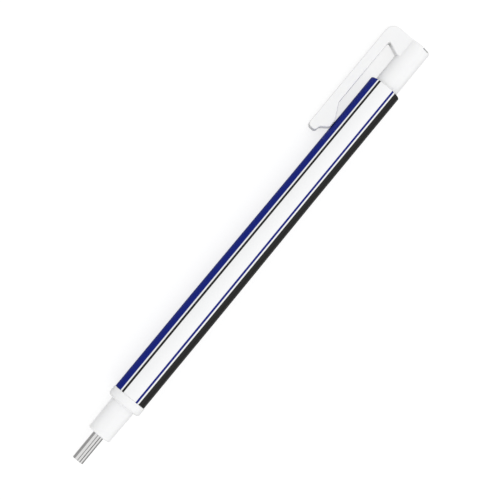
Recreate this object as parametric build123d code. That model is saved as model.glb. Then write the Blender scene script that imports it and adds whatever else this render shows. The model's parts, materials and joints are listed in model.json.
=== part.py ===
from build123d import *
from math import asin, atan2, cos, degrees, hypot, pi, radians, sin, sqrt, tan
import os

# A slim eraser stick in a push-button holder with a pocket clip.
# Millimetres. The holder's axis is X: zero is the open end of the guide pipe, and the button is at
# the far end. Every piece is drawn with the clip towards +Y, and the whole holder is then rolled
# about X, so that it lies as it does on a table, on the barrel and the clip's edge.

# Clearances
slide_gap = 0.05
snug_gap = 0.02
hinge_gap = 0.02
cone_gap = 0.04
end_gap = 0.4
prong_gap = 0.05
cut_overrun = 1.0

# Eraser stick
eraser_diameter = 2.3
eraser_length = 88.0
eraser_recess = 0.05
eraser_edge = 0.12

# Guide pipe
pipe_wall = 0.2
pipe_reach = 7.25
pipe_land_step = 0.2
pipe_seat_depth = 3.35
pipe_lip_height = 0.5
pipe_lip_length = 0.4
pipe_edge = 0.06

# Chuck
jaw_count = 3
jaw_relief_depth = 0.13
jaw_arm_wall = 0.3
jaw_cone_height = 0.35
jaw_land = 0.8
jaw_cone_length = 3.1
jaw_length = 9.4
jaw_edge = 0.15
jaw_slit_angle = 12.0
jaw_opening_angle = 0.8
jaw_side_gap = 0.15
grip_tooth_count = 4
grip_tooth_depth = 0.12
knuckle_swell = 0.09
knuckle_width = 1.6
chuck_gap = 0.1
chuck_wall = 0.55
chuck_tail_step = 0.1
chuck_tail_length = 4.0

# Friction ring
friction_ring_length = 2.4
friction_ring_mouth = 0.45
friction_ring_land = 0.8
friction_ring_edge = 0.15

# Clutch ring and sleeve
clutch_ring_setback = 0.8
clutch_ring_length = 2.0
clutch_ring_wall = 0.55
clutch_ring_edge = 0.15
clutch_travel = 1.2
clutch_stop_gap = 0.1
sleeve_gap = 0.2
flange_length = 3.0
spring_seat_depth = 2.0

# Return spring
spring_gap = 0.2
spring_seat_gap = 0.1
spring_length = 9.0
spring_wire = 0.4
spring_turns = 7
spring_end_turns = 1
spring_end_gap = 0.08

# Eraser tube and the coupling in front of it
tube_gap = 0.35
tube_wall = 0.5
joint_wall = 0.6
joint_length = 8.0
joint_rib = 0.4
joint_rib_gap = 0.2
joint_edge = 0.2

# Button and its stem
stem_wall = 0.88
stem_depth = 9.0
stem_overhang = 1.0
knock_travel = 4.0
button_reach = 12.1
button_top_round = 0.45
button_top_wall = 1.5

# Tail bush and its key
bush_wall = 0.5
bush_seat_step = 0.2
bush_length = 5.8
bush_edge = 0.1
key_length = 2.0
key_width = 1.0
key_height = 0.4

# Barrel
barrel_length = 88.95
barrel_wall = 0.8
tail_wall = 0.44
grip_length = 26.0
draft_length = 34.0
barrel_front_round = 0.12
barrel_end_round = 0.3

# Nose and its collar
nose_wall = 0.74
nose_taper = 0.125
nose_length = 8.45
nose_tip_round = 0.45
nose_root_round = 0.25
collar_step = 0.16
collar_length = 2.25
collar_front_round = 0.65
collar_rear_round = 0.1
spigot_length = 6.9
spigot_edge = 0.2
bead_height = 0.15
bead_length = 1.0
bead_setback = 2.5

# Clip
clip_gap = 1.96
clip_thickness = 2.3
clip_width = 4.2
clip_length = 29.65
clip_edge = 0.3
clip_shoulder_round = 2.2
clip_end_round = 1.0
clip_end_inner_round = 0.8
bridge_depth_at_arm = 3.7
bridge_depth_at_button = 5.0
bridge_throat_round = 0.35
prong_flat = 0.095
prong_rise = 1.4
prong_land = 1.95
prong_ramp = 3.65
prong_round = 0.6
prong_throat_round = 0.7

# Places along the axis
nose_tip = pipe_reach
pipe_rear = nose_tip + pipe_seat_depth
pipe_lip_start = pipe_rear - pipe_lip_length
nose_base = nose_tip + nose_length
barrel_start = nose_base + collar_length
bead_start = barrel_start + bead_setback
spigot_end = barrel_start + spigot_length
barrel_end = barrel_start + barrel_length
button_end = barrel_end + button_reach
stem_end = barrel_end - stem_depth
tube_end = barrel_end - stem_overhang
friction_ring_end = pipe_rear + friction_ring_length
jaw_front = friction_ring_end + end_gap + knock_travel
cone_start = jaw_front + jaw_land
cone_end = cone_start + jaw_cone_length
hinge_place = jaw_front + jaw_length
clutch_ring_start = cone_start + clutch_ring_setback
clutch_ring_end = clutch_ring_start + clutch_ring_length
clutch_stop = clutch_ring_start - clutch_travel - clutch_stop_gap
flange_end = spigot_end + flange_length
spring_start = flange_end - spring_seat_depth
joint_start = spring_start + spring_length
chuck_end = joint_start + chuck_tail_length
tube_start = chuck_end + joint_rib
joint_end = joint_start + joint_length
bush_start = barrel_end - bush_length
key_start = bush_start + bush_edge
clip_end = button_end - clip_length


def cone_radius(along):
    """Outside radius of the closed jaws' cone at a place along the axis."""
    share = min((along - cone_start) / jaw_cone_length, 1)
    return arm_radius + jaw_cone_height * (1 - share)


# Radii, each built up on the one inside it
eraser_radius = eraser_diameter / 2
pipe_bore_radius = eraser_radius + slide_gap
pipe_radius = pipe_bore_radius + pipe_wall
pipe_land_radius = pipe_radius + pipe_land_step
pipe_lip_radius = pipe_radius + pipe_lip_height
grip_radius = eraser_radius + snug_gap
relief_radius = grip_radius + jaw_relief_depth
arm_radius = relief_radius + jaw_arm_wall
hinge_radius = (relief_radius + arm_radius) / 2
knuckle_radius = jaw_arm_wall / 2 + knuckle_swell
head_radius = arm_radius + jaw_cone_height
jaw_swing = jaw_length * sin(radians(jaw_opening_angle))
chamber_radius = head_radius + jaw_swing + jaw_side_gap
chuck_bore_radius = eraser_radius + chuck_gap
chuck_radius = chuck_bore_radius + chuck_wall
chuck_tail_radius = chuck_radius - chuck_tail_step
clutch_ring_radius = cone_radius(clutch_ring_start) + cone_gap + clutch_ring_wall
mechanism_radius = clutch_ring_radius + slide_gap
sleeve_neck_radius = mechanism_radius - snug_gap
sleeve_bore_radius = chuck_radius + sleeve_gap
spring_radius = chuck_radius + spring_gap + spring_wire / 2
spring_seat_radius = spring_radius + spring_wire / 2 + spring_seat_gap
tube_bore_radius = eraser_radius + tube_gap
tube_radius = tube_bore_radius + tube_wall
joint_radius = tube_radius + joint_wall
joint_rib_radius = eraser_radius + joint_rib_gap
socket_radius = tube_radius + snug_gap
button_radius = socket_radius + stem_wall
bush_bore_radius = button_radius + slide_gap
bush_radius = bush_bore_radius + bush_wall
key_radius = bush_bore_radius - key_height
bore_radius = bush_radius - bush_seat_step
spigot_radius = bore_radius - snug_gap
barrel_radius = bore_radius + barrel_wall
tail_radius = bush_radius + tail_wall
collar_radius = barrel_radius + collar_step
nose_base_radius = chamber_radius + nose_wall
nose_tip_radius = nose_base_radius - nose_taper
clip_inner = tail_radius + clip_gap
clip_reach = clip_inner + clip_thickness
prong_slope = atan2(clip_gap - prong_gap, prong_rise)
prong_throat_reach = prong_throat_round * tan(prong_slope / 2)
prong_setback = clip_end_inner_round + prong_flat + prong_throat_reach

# Roll about the axis at which the barrel's end and the clip's edge lie on one plane
clip_corner_angle = degrees(atan2(clip_width / 2 - clip_edge, clip_reach - clip_edge))
clip_corner_radius = hypot(clip_width / 2 - clip_edge, clip_reach - clip_edge)
rest_roll = clip_corner_angle - degrees(asin((tail_radius - clip_edge) / clip_corner_radius))


def outline_face(corners):
    """A flat face in XY from corners given as (along, out, rounding)."""
    points = [(along, out) for along, out, rounding in corners]
    rounds = [rounding for along, out, rounding in corners]
    return make_face(FilletPolyline(*points, radius=rounds, close=True))


def turned(corners, sweep_angle=360):
    """A piece turned about the X axis from the corners of half its section."""
    return revolve(outline_face(corners), Axis.X, revolution_arc=sweep_angle)


def jaw_angle(number):
    """Where a jaw's middle stands about the axis, with the first one across from the clip."""
    return 180 + 360 * number / jaw_count


def make_eraser():
    end = eraser_recess + eraser_length
    return turned(
        [
            (eraser_recess, 0, 0),
            (eraser_recess, eraser_radius, eraser_edge),
            (end, eraser_radius, eraser_edge),
            (end, 0, 0),
        ]
    )


def make_guide_pipe():
    return turned(
        [
            (0, pipe_bore_radius, pipe_edge),
            (0, pipe_radius, pipe_edge),
            (nose_tip, pipe_radius, 0),
            (nose_tip, pipe_land_radius, 0),
            (pipe_lip_start, pipe_land_radius, 0),
            (pipe_lip_start, pipe_lip_radius, 0),
            (pipe_rear, pipe_lip_radius, 0),
            (pipe_rear, pipe_bore_radius, pipe_edge),
        ]
    )


def make_nose_cone():
    return turned(
        [
            (nose_tip, pipe_land_radius, 0),
            (nose_tip, nose_tip_radius, nose_tip_round),
            (nose_base, nose_base_radius, nose_root_round),
            (nose_base, collar_radius, collar_front_round),
            (barrel_start, collar_radius, collar_rear_round),
            (barrel_start, spigot_radius, 0),
            (bead_start, spigot_radius, 0),
            (bead_start + bead_length / 2, spigot_radius + bead_height, bead_height / 2),
            (bead_start + bead_length, spigot_radius, 0),
            (spigot_end, spigot_radius, spigot_edge),
            (spigot_end, mechanism_radius, 0),
            (clutch_stop, mechanism_radius, 0),
            (clutch_stop, chamber_radius, 0),
            (pipe_rear, chamber_radius, 0),
            (pipe_rear, pipe_lip_radius, 0),
            (pipe_lip_start, pipe_lip_radius, 0),
            (pipe_lip_start, pipe_land_radius, 0),
        ]
    )


def make_friction_ring():
    middle = pipe_rear + friction_ring_length / 2
    mouth_radius = grip_radius + friction_ring_mouth
    return turned(
        [
            (pipe_rear, mouth_radius, friction_ring_edge),
            (pipe_rear, chamber_radius, friction_ring_edge),
            (friction_ring_end, chamber_radius, friction_ring_edge),
            (friction_ring_end, mouth_radius, friction_ring_edge),
            (middle + friction_ring_land / 2, grip_radius, friction_ring_edge),
            (middle - friction_ring_land / 2, grip_radius, friction_ring_edge),
        ]
    )


def make_barrel():
    grip_end = barrel_start + grip_length
    return turned(
        [
            (barrel_start, bore_radius, 0),
            (barrel_start, barrel_radius, barrel_front_round),
            (grip_end, barrel_radius, 0),
            (grip_end + draft_length, tail_radius, 0),
            (barrel_end, tail_radius, barrel_end_round),
            (barrel_end, bush_radius, 0),
            (bush_start, bush_radius, 0),
            (bush_start, bore_radius, 0),
            (bead_start + bead_length, bore_radius, 0),
            (bead_start + bead_length / 2, bore_radius + bead_height, bead_height / 2),
            (bead_start, bore_radius, 0),
        ]
    )


def make_tail_bush():
    ring = turned(
        [
            (bush_start, bush_bore_radius, bush_edge),
            (bush_start, bush_radius, bush_edge),
            (barrel_end, bush_radius, bush_edge),
            (barrel_end, bush_bore_radius, bush_edge),
        ]
    )
    key_root = (bush_bore_radius + bush_radius) / 2
    key_middle = Pos(key_start + key_length / 2, -(key_radius + key_root) / 2, 0)
    return ring + key_middle * Box(key_length, key_root - key_radius, key_width)


def make_clip_blade():
    """The clip arm with its bridge and prong, all its long edges rounded."""
    flush_depth = sqrt(button_radius**2 - (clip_width / 2) ** 2)
    root = (tube_bore_radius + flush_depth) / 2
    prong_face = tail_radius + prong_gap
    prong_heel = clip_end + prong_setback
    prong_low = prong_heel + prong_rise
    prong_high = prong_low + prong_land
    profile = outline_face(
        [
            (button_end, root, 0),
            (button_end, clip_reach, clip_shoulder_round),
            (clip_end, clip_reach, clip_end_round),
            (clip_end, clip_inner, clip_end_inner_round),
            (prong_heel, clip_inner, prong_throat_round),
            (prong_low, prong_face, prong_round),
            (prong_high, prong_face, prong_round),
            (prong_high + prong_ramp, clip_inner, prong_round),
            (button_end - bridge_depth_at_arm, clip_inner, bridge_throat_round),
            (button_end - bridge_depth_at_button, button_radius, 0),
            (button_end - bridge_depth_at_button, root, 0),
        ]
    )
    blade = extrude(profile, amount=clip_width / 2, both=True)
    sides = blade.faces().filter_by(Axis.Z)
    return fillet([edge for side in sides for edge in side.edges()], clip_edge)


def make_knock_clip():
    core_end = button_end - button_top_wall
    shaft = turned(
        [
            (stem_end, socket_radius, 0),
            (stem_end, button_radius, clip_edge),
            (button_end, button_radius, button_top_round),
            (button_end, 0, 0),
            (core_end, 0, 0),
            (core_end, tube_bore_radius, 0),
            (tube_end, tube_bore_radius, 0),
            (tube_end, socket_radius, 0),
        ]
    )
    groove_start = stem_end - cut_overrun
    groove_end = key_start + key_length + knock_travel + slide_gap
    groove_floor = key_radius - slide_gap
    groove_middle = Pos((groove_start + groove_end) / 2, -(groove_floor + bush_radius) / 2, 0)
    groove = groove_middle * Box(
        groove_end - groove_start, bush_radius - groove_floor, key_width + 2 * slide_gap
    )
    return shaft + make_clip_blade() - groove


def make_chuck_jaw(number):
    arm_end = hinge_place - knuckle_radius / 2
    tooth_pitch = (cone_end - cone_start) / grip_tooth_count
    corners = [
        (jaw_front, grip_radius, 0),
        (jaw_front, head_radius, jaw_edge),
        (cone_start, head_radius, 0),
        (cone_end, arm_radius, 0),
        (arm_end, arm_radius, 0),
        (arm_end, relief_radius, 0),
        (cone_end, relief_radius, 0),
    ]
    for tooth in reversed(range(grip_tooth_count)):
        tooth_start = cone_start + tooth * tooth_pitch
        corners.append((tooth_start + tooth_pitch / 2, grip_radius, 0))
        corners.append((tooth_start, grip_radius + grip_tooth_depth, 0))
    corners.append((cone_start - jaw_land / 2, grip_radius, 0))
    span = 360 / jaw_count - jaw_slit_angle
    finger = Rot(-span / 2, 0, 0) * turned(corners, span)
    knuckle = Pos(hinge_place, hinge_radius, 0) * Cylinder(knuckle_radius, knuckle_width)
    return Rot(jaw_angle(number), 0, 0) * (finger + knuckle)


def make_chuck_body():
    body = turned(
        [
            (hinge_place, chuck_bore_radius, 0),
            (hinge_place, chuck_radius, 0),
            (joint_start, chuck_radius, 0),
            (joint_start, chuck_tail_radius, 0),
            (chuck_end, chuck_tail_radius, 0),
            (chuck_end, chuck_bore_radius, 0),
        ]
    )
    for number in range(jaw_count):
        seat = Cylinder(knuckle_radius + hinge_gap, 2 * chuck_radius)
        body -= Rot(jaw_angle(number), 0, 0) * Pos(hinge_place, hinge_radius, 0) * seat
    return body


def make_clutch_ring():
    return turned(
        [
            (clutch_ring_start, cone_radius(clutch_ring_start) + cone_gap, 0),
            (clutch_ring_start, clutch_ring_radius, clutch_ring_edge),
            (clutch_ring_end, clutch_ring_radius, clutch_ring_edge),
            (clutch_ring_end, cone_radius(clutch_ring_end) + cone_gap, 0),
        ]
    )


def make_clutch_sleeve():
    return turned(
        [
            (clutch_ring_end, sleeve_bore_radius, 0),
            (clutch_ring_end, sleeve_neck_radius, clutch_ring_edge),
            (spigot_end, sleeve_neck_radius, 0),
            (spigot_end, spigot_radius, 0),
            (flange_end, spigot_radius, spigot_edge),
            (flange_end, spring_seat_radius, 0),
            (spring_start, spring_seat_radius, 0),
            (spring_start, sleeve_bore_radius, 0),
        ]
    )


def spring_point(turn):
    """A point on the spring's wire, with close turns at both ends."""
    end_pitch = spring_wire + spring_end_gap
    open_turns = spring_turns - 2 * spring_end_turns
    open_pitch = (spring_length - spring_wire - 2 * spring_end_turns * end_pitch) / open_turns
    first = min(turn, spring_end_turns)
    middle = min(max(turn - spring_end_turns, 0), open_turns)
    last = max(turn - spring_end_turns - open_turns, 0)
    along = spring_start + spring_wire / 2 + (first + last) * end_pitch + middle * open_pitch
    angle = 2 * pi * turn
    return Vector(along, spring_radius * cos(angle), spring_radius * sin(angle))


def spring_heading(turn, step):
    """The wire's direction at a point, averaged over a step to each side."""
    before = max(turn - step, 0)
    after = min(turn + step, spring_turns)
    rise = (spring_point(after).X - spring_point(before).X) / (after - before)
    around = 2 * pi * spring_radius
    angle = 2 * pi * turn
    return Vector(rise, -around * sin(angle), around * cos(angle)).normalized()


def tangent_arcs(start, start_heading, end, end_heading):
    """Two arcs that join two points and keep both headings."""
    chord = end - start
    both = start_heading + end_heading
    bend = 2 * (1 - start_heading.dot(end_heading))
    reach = (sqrt(chord.dot(both) ** 2 + bend * chord.dot(chord)) - chord.dot(both)) / bend
    start_knee = start + start_heading * reach
    end_knee = end - end_heading * reach
    meeting = (start_knee + end_knee) / 2
    return [
        Edge.make_tangent_arc(start, start_heading, meeting),
        Edge.make_tangent_arc(meeting, (end_knee - start_knee).normalized(), end),
    ]


def make_return_spring():
    steps_per_turn = 4
    step = 1 / steps_per_turn
    arcs = []
    for number in range(spring_turns * steps_per_turn):
        start = number * step
        end = start + step
        arcs += tangent_arcs(
            spring_point(start),
            spring_heading(start, step),
            spring_point(end),
            spring_heading(end, step),
        )
    path = Wire(arcs)
    section = Plane(path @ 0, z_dir=path % 0) * Circle(spring_wire / 2)
    return sweep(section, path=path)


def make_tube_joint():
    return turned(
        [
            (joint_start, chuck_tail_radius, 0),
            (joint_start, joint_radius, joint_edge),
            (joint_end, joint_radius, joint_edge),
            (joint_end, tube_radius, 0),
            (tube_start, tube_radius, 0),
            (tube_start, joint_rib_radius, 0),
            (chuck_end, joint_rib_radius, 0),
            (chuck_end, chuck_tail_radius, 0),
        ]
    )


def make_inner_tube():
    return turned(
        [
            (tube_start, tube_bore_radius, 0),
            (tube_start, tube_radius, 0),
            (tube_end, tube_radius, 0),
            (tube_end, tube_bore_radius, 0),
        ]
    )


pieces = {
    "barrel": make_barrel(),
    "nose_cone": make_nose_cone(),
    "guide_pipe": make_guide_pipe(),
    "knock_clip": make_knock_clip(),
    "eraser": make_eraser(),
    "friction_ring": make_friction_ring(),
    "chuck_body": make_chuck_body(),
    "clutch_ring": make_clutch_ring(),
    "clutch_sleeve": make_clutch_sleeve(),
    "return_spring": make_return_spring(),
    "tube_joint": make_tube_joint(),
    "inner_tube": make_inner_tube(),
    "tail_bush": make_tail_bush(),
}
for number in range(jaw_count):
    pieces[f"chuck_jaw_{number + 1}"] = make_chuck_jaw(number)

os.makedirs("parts", exist_ok=True)
for name, piece in pieces.items():
    export_step(Rot(rest_roll, 0, 0) * piece, f"parts/{name}.step")
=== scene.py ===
import json
from math import atan2, ceil, cos, hypot, pi, radians, sin, sqrt, tan

import bmesh
import bpy
from mathutils import Matrix, Vector


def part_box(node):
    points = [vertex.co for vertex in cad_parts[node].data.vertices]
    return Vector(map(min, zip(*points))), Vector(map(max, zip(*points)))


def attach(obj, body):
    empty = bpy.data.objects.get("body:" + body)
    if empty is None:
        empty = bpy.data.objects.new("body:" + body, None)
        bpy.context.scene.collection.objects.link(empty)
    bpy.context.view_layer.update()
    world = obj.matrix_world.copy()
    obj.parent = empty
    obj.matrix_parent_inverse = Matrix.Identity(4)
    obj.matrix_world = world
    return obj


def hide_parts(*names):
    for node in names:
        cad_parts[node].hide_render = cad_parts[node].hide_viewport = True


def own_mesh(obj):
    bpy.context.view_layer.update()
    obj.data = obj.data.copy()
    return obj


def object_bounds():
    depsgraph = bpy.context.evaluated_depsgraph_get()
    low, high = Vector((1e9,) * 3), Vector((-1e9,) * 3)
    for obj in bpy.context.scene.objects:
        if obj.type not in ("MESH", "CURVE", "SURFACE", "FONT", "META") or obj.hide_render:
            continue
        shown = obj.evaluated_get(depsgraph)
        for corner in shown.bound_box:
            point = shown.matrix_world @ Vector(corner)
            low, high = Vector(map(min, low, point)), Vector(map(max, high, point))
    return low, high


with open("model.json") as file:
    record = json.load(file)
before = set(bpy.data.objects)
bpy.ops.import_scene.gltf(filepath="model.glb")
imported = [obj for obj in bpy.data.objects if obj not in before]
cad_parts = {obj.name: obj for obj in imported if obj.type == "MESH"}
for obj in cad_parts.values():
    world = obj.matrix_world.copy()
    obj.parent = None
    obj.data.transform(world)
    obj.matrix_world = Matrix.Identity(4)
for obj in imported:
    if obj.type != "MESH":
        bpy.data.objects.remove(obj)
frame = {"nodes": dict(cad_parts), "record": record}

# The looks of a slim eraser holder that lies on a pale floor.
# The pen's axis is X. Sizes are in millimetres and angles in degrees, unless a comment says more.

MM = 0.001
cad_low, cad_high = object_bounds()


def along_of(node):
    """Where a CAD node starts and ends along the axis."""
    low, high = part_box(node)
    return low.x / MM, high.x / MM


def radius_of(node):
    """The largest radius of a round CAD node."""
    low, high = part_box(node)
    return max(high.z, -low.z) / MM


# Places and radii that the frame gives
barrel_start, barrel_end = along_of("barrel")
nose_tip, spigot_end = along_of("nose_cone")
pipe_start, pipe_rear = along_of("guide_pipe")
stem_end, button_end = along_of("knock_clip")
eraser_start, eraser_end = along_of("eraser")
barrel_radius = radius_of("barrel")
collar_radius = radius_of("nose_cone")
eraser_radius = radius_of("eraser")
clip_mount = next(m for m in frame["record"]["mounts"] if m["name"] == "pocket_clip")
roll = atan2(clip_mount["pos_m"][2], clip_mount["pos_m"][1])
tail_radius = hypot(clip_mount["pos_m"][1], clip_mount["pos_m"][2]) / MM

# The pen's own directions: front is the side with the clip in profile, and left is the clip's side
front = Vector((0, -sin(roll), cos(roll)))
left = Vector((0, cos(roll), sin(roll)))
pen_axis = Vector((1, 0, 0))

# Barrel
grip_length = 26.0
draft_length = 34.0
barrel_wall = 0.8
barrel_front_round = 0.12
barrel_end_round = 0.3
bush_length = 5.8
bush_step = 0.2
bead_setback = 2.5
bead_length = 1.0
bead_height = 0.15
seat_gap = 0.02

# Nose and its collar
nose_length = 8.45
nose_tip_radius = 2.846
nose_base_radius = 2.971
nose_tip_round = 0.45
nose_root_round = 0.25
collar_front_round = 0.65
collar_rear_round = 0.1
spigot_edge = 0.2
chamber_radius = 2.231
mechanism_radius = 2.5
clutch_stop = 17.7

# Guide pipe
pipe_bore_radius = 1.2
pipe_radius = 1.4
pipe_land_radius = 1.6
pipe_lip_radius = 1.9
pipe_lip_length = 0.4
pipe_edge = 0.06

# Eraser stick
eraser_edge = 0.12

# Button
button_radius = 2.9
button_top_round = 0.45
button_top_wall = 1.5
socket_radius = 2.02
core_radius = 1.5
stem_overhang = 1.0
groove_depth = 0.4
groove_width = 1.1
groove_reach = 10.9

# Vent slit in the button's top rim: its ends to the left, its depths below the top, and its floor
slit_first = -2.3
slit_last = -0.9
slit_low = 0.4
slit_high = 0.17
slit_floor = 1.2

# How far the cutters run past what they cut
overrun = 1.0

# Clip
clip_reach = 8.15
clip_thickness = 2.3
clip_width = 4.2
clip_length = 29.65
clip_edge = 0.3
clip_shoulder_round = 2.2
clip_end_round = 1.0
clip_end_inner_round = 0.8
bridge_depth_at_arm = 3.7
bridge_depth_at_button = 5.0
bridge_throat_round = 0.35
prong_gap = 0.05
prong_setback = 1.25
prong_rise = 1.4
prong_land = 1.95
prong_ramp = 3.65
prong_round = 0.6
prong_throat_round = 0.7

# Return spring
spring_wire = 0.4
spring_turns = 7
spring_end_turns = 1
spring_end_gap = 0.08
spring_rest_gap = 0.01
wire_segments = 10
steps_per_turn = 36

# How finely the meshes are cut, with lengths in millimetres
round_segments = 144
arc_step = radians(9)
edge_segments = 4
crease_angle = radians(32)
axis_tolerance = 0.02
weld_distance = 1e-5


def rounded(corners):
    """A closed outline's points, from corners (along, out, rounding) whose roundings become arcs."""
    points = []
    for number, (along, out, rounding) in enumerate(corners):
        corner = Vector((along, out))
        if not rounding:
            points.append(corner)
            continue
        before = Vector(corners[number - 1][:2]) - corner
        after = Vector(corners[(number + 1) % len(corners)][:2]) - corner
        before.normalize()
        after.normalize()
        half = before.angle(after) / 2
        middle = corner + (before + after).normalized() * (rounding / sin(half))
        first = corner + before * (rounding / tan(half)) - middle
        turn = pi - 2 * half
        side = 1 if first.y * before.x - first.x * before.y > 0 else -1
        steps = max(2, ceil(turn / arc_step))
        for step in range(steps + 1):
            angle = side * turn * step / steps
            across = Vector((-first.y, first.x))
            points.append(middle + first * cos(angle) + across * sin(angle))
    return points


def inset(corners, depth):
    """The same outline moved inwards, with its arcs kept about the same centres."""
    places = [Vector(corner[:2]) for corner in corners]
    headings = []
    for number, start in enumerate(places):
        headings.append((places[(number + 1) % len(places)] - start).normalized())
    moved = []
    for number, (along, out, rounding) in enumerate(corners):
        before, after = headings[number - 1], headings[number]
        inwards = Vector((-before.y - after.y, before.x + after.x))
        corner = places[number] + inwards * (depth / (1 + before.dot(after)))
        outer = before.x * after.y - before.y * after.x > 0
        if rounding:
            rounding = rounding - depth if outer else rounding + depth
        moved.append((corner.x, corner.y, rounding))
    return moved


def linked(name, data):
    """A new object in the scene."""
    thing = bpy.data.objects.new(name, data)
    bpy.context.scene.collection.objects.link(thing)
    return thing


def mesh_of(name, bm):
    """The mesh that bmesh holds, which is then freed."""
    mesh = bpy.data.meshes.new(name)
    bm.to_mesh(mesh)
    bm.free()
    return mesh


def finished(name, bm):
    """A mesh object from bmesh in millimetres and in the unrolled frame."""
    bmesh.ops.remove_doubles(bm, verts=bm.verts, dist=weld_distance)
    bmesh.ops.recalc_face_normals(bm, faces=bm.faces)
    return linked(name, mesh_of(name, bm))


def turned(name, corners):
    """A piece turned about the axis from the corners of half its section."""
    bm = bmesh.new()
    rings = []
    for point in rounded(corners):
        if point.y < axis_tolerance:
            rings.append([bm.verts.new((point.x, 0, 0))])
            continue
        ring = []
        for number in range(round_segments):
            angle = 2 * pi * number / round_segments
            ring.append(bm.verts.new((point.x, point.y * cos(angle), point.y * sin(angle))))
        rings.append(ring)
    for ring, after in zip(rings, rings[1:] + rings[:1]):
        if len(ring) == len(after) == 1:
            continue
        for number in range(round_segments):
            following = (number + 1) % round_segments
            loop = [ring[number % len(ring)], ring[following % len(ring)]]
            loop += [after[following % len(after)], after[number % len(after)]]
            bm.faces.new(list(dict.fromkeys(loop)))
    return finished(name, bm)


def block(name, low, high):
    """A plain box, used only as a cutter."""
    bm = bmesh.new()
    bmesh.ops.create_cube(bm, size=1)
    for vertex in bm.verts:
        for axis in range(3):
            vertex.co[axis] = low[axis] if vertex.co[axis] < 0 else high[axis]
    return finished(name, bm)


def clip_blade():
    """The clip arm with its bridge and prong, all its long edges rounded."""
    clip_end = button_end - clip_length
    clip_inner = clip_reach - clip_thickness
    flush_depth = sqrt(button_radius**2 - (clip_width / 2) ** 2)
    root = (core_radius + flush_depth) / 2
    prong_face = tail_radius + prong_gap
    prong_heel = clip_end + prong_setback
    prong_low = prong_heel + prong_rise
    prong_high = prong_low + prong_land
    outline = [
        (button_end, root, 0),
        (button_end, clip_reach, clip_shoulder_round),
        (clip_end, clip_reach, clip_end_round),
        (clip_end, clip_inner, clip_end_inner_round),
        (prong_heel, clip_inner, prong_throat_round),
        (prong_low, prong_face, prong_round),
        (prong_high, prong_face, prong_round),
        (prong_high + prong_ramp, clip_inner, prong_round),
        (button_end - bridge_depth_at_arm, clip_inner, bridge_throat_round),
        (button_end - bridge_depth_at_button, button_radius, 0),
        (button_end - bridge_depth_at_button, root, 0),
    ]
    rows = []
    for step in range(edge_segments + 1):
        angle = pi / 2 * step / edge_segments
        points = rounded(inset(outline, clip_edge * (1 - cos(angle))))
        rows.append((clip_width / 2 - clip_edge * (1 - sin(angle)), points))
    bm = bmesh.new()
    loops = []
    for side, points in [(-out, row) for out, row in reversed(rows)] + rows:
        loops.append([bm.verts.new((point.x, point.y, side)) for point in points])
    for loop, after in zip(loops, loops[1:]):
        for number in range(len(loop)):
            following = (number + 1) % len(loop)
            bm.faces.new([loop[number], loop[following], after[following], after[number]])
    bm.faces.new(loops[0])
    bm.faces.new(loops[-1])
    return finished("clip_blade", bm)


def combined(piece, other, operation):
    """Joins another solid to a piece or cuts it out, and deletes the other."""
    modifier = piece.modifiers.new("combine", "BOOLEAN")
    modifier.operation = operation
    modifier.solver = "EXACT"
    modifier.object = other
    graph = bpy.context.evaluated_depsgraph_get()
    mesh = bpy.data.meshes.new_from_object(piece.evaluated_get(graph))
    piece.modifiers.clear()
    piece.data = mesh
    bpy.data.objects.remove(other)
    return piece


def placed(piece, node, body):
    """Rolls and shrinks a piece into the frame, shades it and sets it in place of its CAD node."""
    piece.data.transform(Matrix.Scale(MM, 4) @ Matrix.Rotation(roll, 4, "X"))
    shaded(piece)
    modifier = piece.modifiers.new("weighted_normals", "WEIGHTED_NORMAL")
    modifier.keep_sharp = True
    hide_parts(node)
    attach(piece, body)
    return piece


def shaded(piece):
    """Smooth shading, with the true creases kept sharp."""
    piece.data.shade_smooth()
    piece.data.set_sharp_from_angle(angle=crease_angle)


def make_barrel_tube():
    """The barrel, with a straight grip, a tapered middle and a snap groove inside."""
    grip_end = barrel_start + grip_length
    bore = barrel_radius - barrel_wall
    bush_start = barrel_end - bush_length
    bead_start = barrel_start + bead_setback
    piece = turned(
        "barrel_tube",
        [
            (barrel_start, bore, 0),
            (barrel_start, barrel_radius, barrel_front_round),
            (grip_end, barrel_radius, 0),
            (grip_end + draft_length, tail_radius, 0),
            (barrel_end, tail_radius, barrel_end_round),
            (barrel_end, bore + bush_step, 0),
            (bush_start, bore + bush_step, 0),
            (bush_start, bore, 0),
            (bead_start + bead_length, bore, 0),
            (bead_start + bead_length / 2, bore + bead_height, bead_height / 2),
            (bead_start, bore, 0),
        ],
    )
    return placed(piece, "barrel", "barrel")


def make_nose_moulding():
    """The nose with its collar, the spigot in the barrel and the chambers inside."""
    nose_base = nose_tip + nose_length
    spigot_radius = barrel_radius - barrel_wall - seat_gap
    bead_start = barrel_start + bead_setback
    lip_start = pipe_rear - pipe_lip_length
    piece = turned(
        "nose_moulding",
        [
            (nose_tip, pipe_land_radius, 0),
            (nose_tip, nose_tip_radius, nose_tip_round),
            (nose_base, nose_base_radius, nose_root_round),
            (nose_base, collar_radius, collar_front_round),
            (barrel_start, collar_radius, collar_rear_round),
            (barrel_start, spigot_radius, 0),
            (bead_start, spigot_radius, 0),
            (bead_start + bead_length / 2, spigot_radius + bead_height, bead_height / 2),
            (bead_start + bead_length, spigot_radius, 0),
            (spigot_end, spigot_radius, spigot_edge),
            (spigot_end, mechanism_radius, 0),
            (clutch_stop, mechanism_radius, 0),
            (clutch_stop, chamber_radius, 0),
            (pipe_rear, chamber_radius, 0),
            (pipe_rear, pipe_lip_radius, 0),
            (lip_start, pipe_lip_radius, 0),
            (lip_start, pipe_land_radius, 0),
        ],
    )
    return placed(piece, "nose_cone", "barrel")


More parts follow.
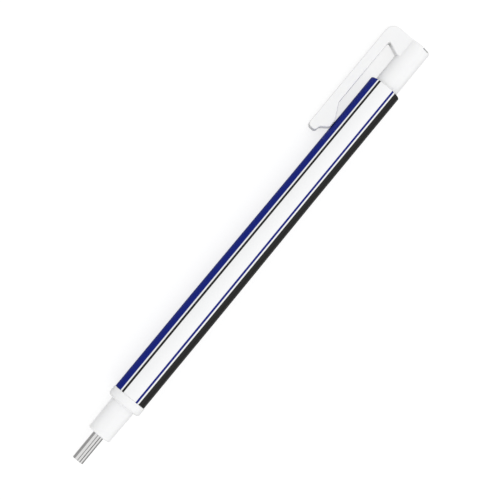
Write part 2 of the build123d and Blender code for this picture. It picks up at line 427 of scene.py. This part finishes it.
def make_pipe_tube():
    """The steel pipe, with a thicker root held in the nose."""
    lip_start = pipe_rear - pipe_lip_length
    piece = turned(
        "pipe_tube",
        [
            (pipe_start, pipe_bore_radius, pipe_edge),
            (pipe_start, pipe_radius, pipe_edge),
            (nose_tip, pipe_radius, 0),
            (nose_tip, pipe_land_radius, 0),
            (lip_start, pipe_land_radius, 0),
            (lip_start, pipe_lip_radius, 0),
            (pipe_rear, pipe_lip_radius, 0),
            (pipe_rear, pipe_bore_radius, pipe_edge),
        ],
    )
    return placed(piece, "guide_pipe", "barrel")


def make_eraser_stick():
    """The round stick that runs through the pen."""
    piece = turned(
        "eraser_stick",
        [
            (eraser_start, 0, 0),
            (eraser_start, eraser_radius, eraser_edge),
            (eraser_end, eraser_radius, eraser_edge),
            (eraser_end, 0, 0),
        ],
    )
    return placed(piece, "eraser", "eraser")


def make_button_moulding():
    """The button with its clip, its hollow stem, a key groove and a vent slit."""
    core_end = button_end - button_top_wall
    tube_end = barrel_end - stem_overhang
    piece = turned(
        "button_moulding",
        [
            (stem_end, socket_radius, 0),
            (stem_end, button_radius, clip_edge),
            (button_end, button_radius, button_top_round),
            (button_end, 0, 0),
            (core_end, 0, 0),
            (core_end, core_radius, 0),
            (tube_end, core_radius, 0),
            (tube_end, socket_radius, 0),
        ],
    )
    combined(piece, clip_blade(), "UNION")
    low = (stem_end - overrun, -button_radius - overrun, -groove_width / 2)
    high = (stem_end + groove_reach, groove_depth - button_radius, groove_width / 2)
    combined(piece, block("groove", low, high), "DIFFERENCE")
    low = (button_end - slit_low, slit_first, slit_floor)
    high = (button_end - slit_high, slit_last, button_radius + overrun)
    combined(piece, block("slit", low, high), "DIFFERENCE")
    return placed(piece, "knock_clip", "knock")


def coil_place(turn):
    """How far along the axis the spring's wire is, with close turns at both ends."""
    start, end = along_of("return_spring")
    first = start + spring_rest_gap + spring_wire / 2
    last = end - spring_rest_gap - spring_wire / 2
    end_pitch = spring_wire + spring_end_gap
    open_turns = spring_turns - 2 * spring_end_turns
    open_pitch = (last - first - 2 * spring_end_turns * end_pitch) / open_turns
    middle = min(max(turn - spring_end_turns, 0), open_turns)
    return first + (turn - middle) * end_pitch + middle * open_pitch


def make_spring_coil():
    """The return spring's wire at rest, in a mesh of its own; the real spring shortens as the button
    is pushed.
    """
    coil_radius = radius_of("return_spring") - spring_wire / 2
    bm = bmesh.new()
    rings = []
    for step in range(spring_turns * steps_per_turn + 1):
        turn = step / steps_per_turn
        out = Vector((0, cos(2 * pi * turn), sin(2 * pi * turn)))
        middle = pen_axis * coil_place(turn) + out * coil_radius
        ring = []
        for number in range(wire_segments):
            angle = 2 * pi * number / wire_segments
            offset = pen_axis * cos(angle) + out * sin(angle)
            ring.append(bm.verts.new(middle + offset * (spring_wire / 2)))
        rings.append(ring)
    for ring, after in zip(rings, rings[1:]):
        for number in range(wire_segments):
            following = (number + 1) % wire_segments
            bm.faces.new([ring[number], ring[following], after[following], after[number]])
    bm.faces.new(rings[0])
    bm.faces.new(rings[-1])
    piece = placed(finished("spring_coil", bm), "return_spring", "barrel")
    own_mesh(piece)
    return piece


# Shader tools
coarse_detail = 2.0
usual_detail = 3.0
fine_detail = 4.0
speckle_detail = 5.0
edge_first = 0.52
edge_full = 0.6


def new_material(name):
    """A material, its node tree and its main shader."""
    material = bpy.data.materials.new(name)
    material.use_nodes = True
    tree = material.node_tree
    return material, tree, tree.nodes["Principled BSDF"]


def bare_tree(owner):
    """The emptied node tree of a material or a world."""
    owner.use_nodes = True
    owner.node_tree.nodes.clear()
    return owner.node_tree


def added(tree, kind, inputs=None, **settings):
    """A node with its settings, and its inputs linked or set."""
    node = tree.nodes.new(kind)
    for name, value in settings.items():
        setattr(node, name, value)
    for name, value in (inputs or {}).items():
        fill(tree, node.inputs[name], value)
    return node


def fill(tree, socket, value):
    """Links a socket to another one, or sets its value."""
    if isinstance(value, bpy.types.NodeSocket):
        tree.links.new(value, socket)
    else:
        socket.default_value = value


def maths(tree, operation, *values):
    """The result of a math node."""
    node = added(tree, "ShaderNodeMath", dict(enumerate(values)), operation=operation)
    return node.outputs[0]


def place(tree, stretch=(1, 1, 1)):
    """Object coordinates in millimetres, shrunk along each axis by the given factors."""
    point = added(tree, "ShaderNodeTexCoord").outputs["Object"]
    scale = tuple(factor / MM for factor in stretch)
    return added(tree, "ShaderNodeMapping", {"Vector": point, "Scale": scale}).outputs[0]


def grain(tree, point, scale, detail=usual_detail):
    """Noise between 0 and 1."""
    inputs = {"Vector": point, "Scale": scale, "Detail": detail}
    return added(tree, "ShaderNodeTexNoise", inputs).outputs["Fac"]


def between(tree, share, low, high, start=0.0, end=1.0):
    """Maps a share that runs from start to end onto low to high."""
    inputs = {"Value": share, "From Min": start, "From Max": end, "To Min": low, "To Max": high}
    return added(tree, "ShaderNodeMapRange", inputs).outputs[0]


def mixed(tree, share, first, second):
    """A colour between two colours."""
    node = added(tree, "ShaderNodeMix", data_type="RGBA")
    fill(tree, node.inputs[0], share)
    fill(tree, node.inputs[6], first)
    fill(tree, node.inputs[7], second)
    return node.outputs[2]


def relief(tree, height, depth_mm, normal=None):
    """A bump from a height share, as deep as given."""
    inputs = {"Height": height, "Strength": 1.0, "Distance": depth_mm * MM}
    if normal is not None:
        inputs["Normal"] = normal
    return added(tree, "ShaderNodeBump", inputs).outputs[0]


def colour(red, green, blue):
    """An opaque colour, from linear shares of light."""
    return (red, green, blue, 1.0)


def grey(level):
    """A neutral colour."""
    return colour(level, level, level)


def edge_share(tree):
    """Near 1 on outer edges, where plastic gets rubbed, and 0 elsewhere."""
    pointed = added(tree, "ShaderNodeNewGeometry").outputs["Pointiness"]
    return between(tree, pointed, 0.0, 1.0, edge_first, edge_full)


def surface(tree, shader, base, rough, normal):
    """Gives the main shader its colour, roughness and relief."""
    tree.links.new(base, shader.inputs["Base Color"])
    tree.links.new(rough, shader.inputs["Roughness"])
    tree.links.new(normal, shader.inputs["Normal"])


# White mouldings. In all materials a scale is in cells to a millimetre, and a depth in millimetres.
moulding_dark = colour(0.885, 0.888, 0.893)
moulding_light = colour(0.915, 0.917, 0.918)
moulding_rubbed = colour(0.84, 0.838, 0.83)
moulding_roughness = (0.26, 0.36)
mottle_scale = 0.35
rub_scale = 1.4
cloud_scale = 0.8
peel_scale = 2.2
peel_depth = 0.003
fine_scale = 14.0
fine_depth = 0.0008
moulding_ior = 1.46
scatter_share = 0.08
scatter_reach = (0.8, 0.8, 0.7)


def white_moulding_material():
    """Injection-moulded white plastic with a faint orange peel and rubbed edges."""
    material, tree, shader = new_material("white_moulding")
    point = place(tree)
    base = mixed(tree, grain(tree, point, mottle_scale), moulding_dark, moulding_light)
    rubbed = maths(tree, "MULTIPLY", edge_share(tree), grain(tree, point, rub_scale))
    base = mixed(tree, rubbed, base, moulding_rubbed)
    rough = between(tree, grain(tree, point, cloud_scale), *moulding_roughness)
    peel = relief(tree, grain(tree, point, peel_scale, coarse_detail), peel_depth)
    fine = relief(tree, grain(tree, point, fine_scale, fine_detail), fine_depth, peel)
    surface(tree, shader, base, rough, fine)
    shader.inputs["IOR"].default_value = moulding_ior
    shader.inputs["Subsurface Weight"].default_value = scatter_share
    shader.inputs["Subsurface Radius"].default_value = scatter_reach
    shader.inputs["Subsurface Scale"].default_value = MM
    return material


# The barrel's inks and bands, with angles about the axis from the front to the right
blue_ink = colour(0.003, 0.0125, 0.205)
black_ink = colour(0.006, 0.0058, 0.0054)
band_middle = 84
band_half_width = 46
line_gap = 5
line_width = 8
band_edge = 0.25
waver_scale = 5.0
waver_share = 0.0006
ink_depth = 0.006

# The barrel's tube
tube_dark = colour(0.885, 0.89, 0.897)
tube_light = colour(0.91, 0.913, 0.918)
tube_roughness = (0.2, 0.3)
tube_mottle_scale = 0.3
tube_cloud_scale = 0.9
tube_line_scale = 7.0
tube_line_stretch = (0.05, 1, 1)
tube_line_depth = 0.0012
tube_ior = 1.42
tube_gloss_level = 0.2


def printed_bands():
    """A broad band on each side, with a thin line of the other ink at each edge: angles and ink."""
    line_start = band_half_width + line_gap
    line_end = line_start + line_width
    bands = []
    for side, broad_ink, line_ink in ((-1, blue_ink, black_ink), (1, black_ink, blue_ink)):
        middle = side * band_middle
        bands.append((middle - line_end, middle - line_start, line_ink))
        bands.append((middle - band_half_width, middle + band_half_width, broad_ink))
        bands.append((middle + line_start, middle + line_end, line_ink))
    return bands


def band_colours(tree, share, bare):
    """The inks by angle, as a ramp over the whole turn."""
    node = added(tree, "ShaderNodeValToRGB", {"Fac": share})
    ramp = node.color_ramp
    stops = [(-180, bare)]
    for first, last, ink in printed_bands():
        stops += [(first - band_edge, bare), (first + band_edge, ink)]
        stops += [(last - band_edge, ink), (last + band_edge, bare)]
    for number, (angle, ink) in enumerate(stops):
        position = angle / 360 + 0.5
        stop = ramp.elements[0] if number == 0 else ramp.elements.new(position)
        stop.position = position
        stop.color = ink
    ramp.elements.remove(ramp.elements[-1])
    return node.outputs["Color"]


def distance_towards(tree, y, z, direction):
    """How far a point across the pen lies in a direction."""
    by_y = maths(tree, "MULTIPLY", y, direction.y)
    by_z = maths(tree, "MULTIPLY", z, direction.z)
    return maths(tree, "ADD", by_y, by_z)


def turn_share(tree, point):
    """The angle about the axis as a share of the turn, with the front at a half."""
    parts = added(tree, "ShaderNodeSeparateXYZ", {"Vector": point}).outputs
    to_left = distance_towards(tree, parts["Y"], parts["Z"], left)
    to_front = distance_towards(tree, parts["Y"], parts["Z"], front)
    angle = maths(tree, "ARCTAN2", maths(tree, "MULTIPLY", to_left, -1.0), to_front)
    share = maths(tree, "ADD", maths(tree, "DIVIDE", angle, 2 * pi), 0.5)
    waver = between(tree, grain(tree, point, waver_scale), -waver_share, waver_share)
    return maths(tree, "ADD", share, waver)


def banded_barrel_material():
    """White tube with lengthwise bands of blue and black ink."""
    material, tree, shader = new_material("banded_barrel")
    point = place(tree)
    bare = mixed(tree, grain(tree, point, tube_mottle_scale), tube_dark, tube_light)
    inks = band_colours(tree, turn_share(tree, point), grey(1))
    red = added(tree, "ShaderNodeSeparateColor", {"Color": inks}).outputs["Red"]
    inked = maths(tree, "SUBTRACT", 1.0, red)
    base = mixed(tree, inked, bare, inks)
    rough = between(tree, grain(tree, point, tube_cloud_scale), *tube_roughness)
    lines = grain(tree, place(tree, tube_line_stretch), tube_line_scale, coarse_detail)
    normal = relief(tree, lines, tube_line_depth, relief(tree, inked, ink_depth))
    surface(tree, shader, base, rough, normal)
    shader.inputs["IOR"].default_value = tube_ior
    shader.inputs["Specular IOR Level"].default_value = tube_gloss_level
    return material


# Drawn steel, with the colour and the lowest and highest roughness of each kind
steel_finishes = {
    "drawn_steel": (colour(0.78, 0.775, 0.77), 0.03, 0.08),
    "spring_steel": (colour(0.55, 0.56, 0.58), 0.2, 0.34),
}
steel_line_stretch = (0.04, 1, 1)
steel_line_scale = 12.0
steel_line_shade_share = 0.86
steel_line_depth = 0.0005
steel_cloud_scale = 1.2
steel_cloud_first = 0.6
steel_cloud_last = 1.4


def steel_material(name, base, low, high):
    """Drawn steel with fine lines along its length, between two roughnesses."""
    material, tree, shader = new_material(name)
    lines = grain(tree, place(tree, steel_line_stretch), steel_line_scale, fine_detail)
    cloud = grain(tree, place(tree), steel_cloud_scale)
    shaded_base = colour(*(channel * steel_line_shade_share for channel in base[:3]))
    tone = mixed(tree, lines, base, shaded_base)
    both = maths(tree, "ADD", lines, cloud)
    rough = between(tree, both, low, high, steel_cloud_first, steel_cloud_last)
    surface(tree, shader, tone, rough, relief(tree, lines, steel_line_depth))
    shader.inputs["Metallic"].default_value = 1.0
    return material


# Turned brass
brass_light = colour(0.78, 0.56, 0.25)
brass_dark = colour(0.66, 0.44, 0.18)
brass_roughness = (0.18, 0.34)
brass_ring_stretch = (1, 0.02, 0.02)
brass_ring_scale = 16.0
brass_ring_depth = 0.003
brass_stain_scale = 1.6


def turned_brass_material():
    """Brass with the rings that a turning tool leaves."""
    material, tree, shader = new_material("turned_brass")
    rings = grain(tree, place(tree, brass_ring_stretch), brass_ring_scale)
    base = mixed(tree, grain(tree, place(tree), brass_stain_scale), brass_light, brass_dark)
    rough = between(tree, rings, *brass_roughness)
    surface(tree, shader, base, rough, relief(tree, rings, brass_ring_depth))
    shader.inputs["Metallic"].default_value = 1.0
    return material


# Matt finishes: two colours, lowest and highest roughness, and the grain's size and depth
soft_finishes = {
    "grey_plastic": (colour(0.3, 0.31, 0.32), colour(0.36, 0.37, 0.38), 0.4, 0.52, 0.5, 0.004),
    "natural_plastic": (colour(0.7, 0.68, 0.6), colour(0.78, 0.76, 0.69), 0.36, 0.5, 0.6, 0.003),
    "black_rubber": (colour(0.012, 0.012, 0.013), colour(0.03, 0.03, 0.031), 0.65, 0.85, 0.2, 0.01),
    "eraser_vinyl": (colour(0.82, 0.82, 0.8), colour(0.88, 0.88, 0.865), 0.7, 0.88, 0.15, 0.008),
}
soft_cloud_scale = 0.5


def soft_material(name, dark, light, low, high, grain_size, depth):
    """A matt finish between two colours and two roughnesses, with its own grain."""
    material, tree, shader = new_material(name)
    point = place(tree)
    speckle = grain(tree, point, 1 / grain_size, speckle_detail)
    cloud = grain(tree, point, soft_cloud_scale)
    share = maths(tree, "MULTIPLY", maths(tree, "ADD", speckle, cloud), 0.5)
    base = mixed(tree, share, dark, light)
    rough = between(tree, speckle, low, high)
    surface(tree, shader, base, rough, relief(tree, speckle, depth))
    return material


# The eraser's milky tube
milky_dark = colour(0.8, 0.82, 0.84)
milky_light = colour(0.9, 0.91, 0.92)
milky_roughness = (0.3, 0.42)
milky_line_stretch = (0.05, 1, 1)
milky_line_scale = 5.0
milky_line_depth = 0.003
milky_glass_share = 0.25


def milky_tube_material():
    """Thin extruded tube that lets some light through."""
    material, tree, shader = new_material("milky_tube")
    lines = grain(tree, place(tree, milky_line_stretch), milky_line_scale)
    base = mixed(tree, lines, milky_dark, milky_light)
    rough = between(tree, lines, *milky_roughness)
    surface(tree, shader, base, rough, relief(tree, lines, milky_line_depth))
    shader.inputs["Transmission Weight"].default_value = milky_glass_share
    return material


# Camera, in metres and pixels
camera_along = 0.035
camera_distance = 0.456
aim_along = 0.05984
aim_left = 0.00021
pixels_per_metre = 4519.0
image_width = 500
sensor_width = 36.0
lean_from_upright = 39.573
camera_near = 0.0456
camera_far = 10.0

# Floor and light, in metres, shares, degrees and strengths
floor_reach = 3.0
floor_grey_share = 0.8
floor_glow_share = 0.75
floor_dim_share = 0.3
light_from_right = 24
world_high = 1.22
world_low = 0.22
card_distance = 0.6
card_length = 0.5
card_steps = 12
# The cards' first and last angles about the axis, from the front to the right, and their strengths
cards = {
    "left_card": (-79, -60, 0.4),
    "camera_card": (-7, 6, 0.3),
    "right_card": (46, 62, 0.12),
}
# The flags on the floor: first and last place to the right, first and last along the pen, and strength
card_start = aim_along - card_length / 2
card_end = aim_along + card_length / 2
flags = {
    "tip_flag": (-0.22, -0.0045, card_start, nose_tip * MM, 0.4),
    "left_flag": (-0.22, -0.0045, nose_tip * MM, card_end, 0.15),
    "right_flag": (0.0045, 0.22, card_start, card_end, 0.3),
}
flag_lift = 0.0002


def seen_share(tree):
    """1 for rays that show the background: from the camera, or by gloss or glass."""
    path = added(tree, "ShaderNodeLightPath").outputs
    seen = maths(tree, "MAXIMUM", path["Is Camera Ray"], path["Is Glossy Ray"])
    return maths(tree, "MAXIMUM", seen, path["Is Transmission Ray"])


def make_floor():
    """A pale floor under the pen that reads white and keeps a soft shadow."""
    mesh = bpy.data.meshes.new("floor")
    corners = [(-floor_reach, -floor_reach), (floor_reach, -floor_reach)]
    corners += [(floor_reach, floor_reach), (-floor_reach, floor_reach)]
    mesh.from_pydata([(x, y, cad_low.z) for x, y in corners], [], [(0, 1, 2, 3)])
    linked("floor", mesh)
    material = bpy.data.materials.new("pale_floor")
    tree = bare_tree(material)
    matt = added(tree, "ShaderNodeBsdfDiffuse", {"Color": grey(floor_grey_share)})
    dim = added(tree, "ShaderNodeBsdfDiffuse", {"Color": grey(floor_dim_share)})
    glow = added(tree, "ShaderNodeEmission", {"Strength": floor_glow_share})
    both = added(tree, "ShaderNodeAddShader", {0: dim.outputs[0], 1: glow.outputs[0]})
    inputs = {0: seen_share(tree), 1: matt.outputs[0], 2: both.outputs[0]}
    mix = added(tree, "ShaderNodeMixShader", inputs)
    added(tree, "ShaderNodeOutputMaterial", {"Surface": mix.outputs[0]})
    mesh.materials.append(material)


def make_world():
    """Soft light from all round, more of it from the front and the right."""
    world = bpy.data.worlds.new("studio")
    bpy.context.scene.world = world
    tree = bare_tree(world)
    direction = added(tree, "ShaderNodeTexCoord").outputs["Generated"]
    turn = radians(light_from_right)
    inputs = {0: direction, 1: tuple(front * cos(turn) - left * sin(turn))}
    side = added(tree, "ShaderNodeVectorMath", inputs, operation="DOT_PRODUCT").outputs["Value"]
    strength = between(tree, side, world_low, world_high, -1.0, 1.0)
    light = added(tree, "ShaderNodeBackground", {"Color": grey(1), "Strength": strength})
    seen = added(tree, "ShaderNodeBackground", {"Color": grey(1), "Strength": 1.0})
    inputs = {0: seen_share(tree), 1: light.outputs[0], 2: seen.outputs[0]}
    mix = added(tree, "ShaderNodeMixShader", inputs)
    added(tree, "ShaderNodeOutputWorld", {"Surface": mix.outputs[0]})


def make_card(name, angle_first, angle_last, strength):
    """A grey strip at the pen's side, from one angle to another about the axis."""
    rows = []
    for step in range(card_steps + 1):
        angle = radians(angle_first + (angle_last - angle_first) * step / card_steps)
        rows.append((front * cos(angle) - left * sin(angle)) * card_distance)
    make_gloss_strip(name, rows, card_start, card_end, strength)


def make_flag(name, first, last, start, end, strength):
    """A grey strip on the floor."""
    height = cad_low.z + flag_lift
    rows = [Vector((0, -first, height)), Vector((0, -last, height))]
    make_gloss_strip(name, rows, start, end, strength)


def make_gloss_strip(name, rows, start, end, strength):
    """A glowing strip along the pen, through rows of points beside it, seen only in gloss."""
    bm = bmesh.new()
    ends = (pen_axis * start, pen_axis * end)
    lines = [[bm.verts.new(row + reach) for reach in ends] for row in rows]
    for line, after in zip(lines, lines[1:]):
        bm.faces.new([line[0], line[1], after[1], after[0]])
    strip = linked(name, mesh_of(name, bm))
    strip.visible_camera = False
    strip.visible_diffuse = False
    strip.visible_transmission = False
    strip.visible_shadow = False
    material = bpy.data.materials.new(name)
    tree = bare_tree(material)
    glow = added(tree, "ShaderNodeEmission", {"Strength": strength})
    added(tree, "ShaderNodeOutputMaterial", {"Surface": glow.outputs[0]})
    strip.data.materials.append(material)


def make_camera():
    """A long lens over the pen's grip, turned so that the pen leans as in the photograph."""
    data = bpy.data.cameras.new("camera")
    camera = linked("camera", data)
    place_of_camera = pen_axis * camera_along + left * aim_left + front * camera_distance
    aim = pen_axis * aim_along + left * aim_left
    forward = (aim - place_of_camera).normalized()
    tipwards = (pen_axis - forward * pen_axis.dot(forward)).normalized()
    across = (-forward).cross(tipwards)
    lean = radians(90 - lean_from_upright)
    right = tipwards * cos(lean) - across * sin(lean)
    up = tipwards * sin(lean) + across * cos(lean)
    turn = Matrix((right, up, -forward)).transposed().to_4x4()
    camera.matrix_world = Matrix.Translation(place_of_camera) @ turn
    focal_pixels = pixels_per_metre * (aim - place_of_camera).length
    data.sensor_width = sensor_width
    data.lens = sensor_width * focal_pixels / image_width
    data.clip_start = camera_near
    data.clip_end = camera_far
    bpy.context.scene.camera = camera


def dress(piece, material):
    """Gives a piece one material."""
    piece.data.materials.clear()
    piece.data.materials.append(material)


finishes = {
    "white_moulding": white_moulding_material(),
    "banded_barrel": banded_barrel_material(),
    "turned_brass": turned_brass_material(),
    "milky_tube": milky_tube_material(),
}
for name, values in steel_finishes.items():
    finishes[name] = steel_material(name, *values)
for name, values in soft_finishes.items():
    finishes[name] = soft_material(name, *values)

dress(make_barrel_tube(), finishes["banded_barrel"])
dress(make_nose_moulding(), finishes["white_moulding"])
dress(make_pipe_tube(), finishes["drawn_steel"])
dress(make_eraser_stick(), finishes["eraser_vinyl"])
dress(make_button_moulding(), finishes["white_moulding"])
dress(make_spring_coil(), finishes["spring_steel"])

node_finishes = {
    "tail_bush": "grey_plastic",
    "clutch_sleeve": "grey_plastic",
    "tube_joint": "grey_plastic",
    "chuck_body": "natural_plastic",
    "chuck_jaw_1": "natural_plastic",
    "chuck_jaw_2": "natural_plastic",
    "chuck_jaw_3": "natural_plastic",
    "friction_ring": "black_rubber",
    "clutch_ring": "turned_brass",
    "inner_tube": "milky_tube",
    "barrel": "white_moulding",
    "nose_cone": "white_moulding",
    "knock_clip": "white_moulding",
    "guide_pipe": "drawn_steel",
    "eraser": "eraser_vinyl",
    "return_spring": "spring_steel",
}
for node, finish in node_finishes.items():
    shaded(frame["nodes"][node])
    dress(frame["nodes"][node], finishes[finish])

make_floor()
make_world()
for name, (angle_first, angle_last, strength) in cards.items():
    make_card(name, angle_first, angle_last, strength)
for name, (first, last, start, end, strength) in flags.items():
    make_flag(name, first, last, start, end, strength)
make_camera()

scene = bpy.context.scene
scene.view_settings.view_transform = "Standard"
